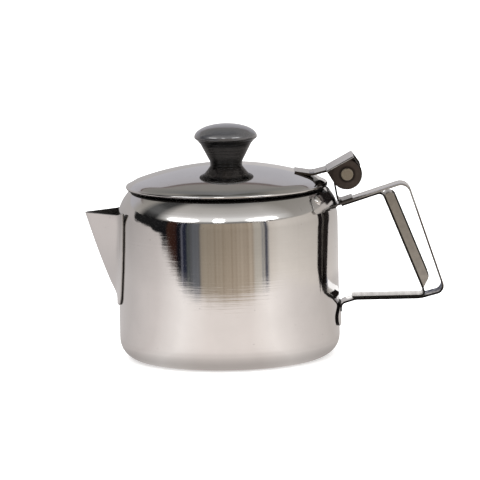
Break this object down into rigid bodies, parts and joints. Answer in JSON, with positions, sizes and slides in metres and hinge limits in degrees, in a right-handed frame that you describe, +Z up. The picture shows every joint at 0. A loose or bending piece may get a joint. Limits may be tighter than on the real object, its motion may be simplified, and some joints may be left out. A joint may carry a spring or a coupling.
{
  "type": "teapot",
  "caption": "Small straight-sided steel teapot with a welded V spout, a strip handle and a domed lid that swings up on a riveted hinge at the rim.",
  "frame": {"origin": "centre of the pot's flat base, on the surface it stands on", "axes": "+Z up along the pot's axis, +X towards the handle, -X towards the spout, +Y across the handle"},
  "size_m": [0.1624, 0.1004, 0.1065],
  "materials": {
    "polished_steel": "mirror-polished stainless steel",
    "satin_steel": "satin stainless steel strip",
    "rivet_steel": "peened rivet end, dull",
    "dark_plastic": "glossy moulded phenolic",
    "brass": "turned brass",
    "zinc_steel": "plated steel fastener"
  },
  "bodies": {
    "pot": {"pot_shell": "polished_steel", "spout": "polished_steel", "handle_strap": "polished_steel", "handle_grip": "satin_steel", "ear_rivets": "polished_steel", "hinge_bracket": "satin_steel"},
    "lid": {"lid_shell": "polished_steel", "lid_ring": "satin_steel", "hinge_hood": "polished_steel", "hinge_pin": "rivet_steel", "knob": "dark_plastic", "knob_insert": "brass", "knob_washer": "zinc_steel", "knob_screw": "zinc_steel"}
  },
  "joints": [
    {"name": "lid_hinge", "type": "hinge", "parent": "pot", "child": "lid", "pos_m": [0.0545, 0, 0.0835], "axis": [0, 1, 0], "range_deg": [0, 105]}
  ]
}
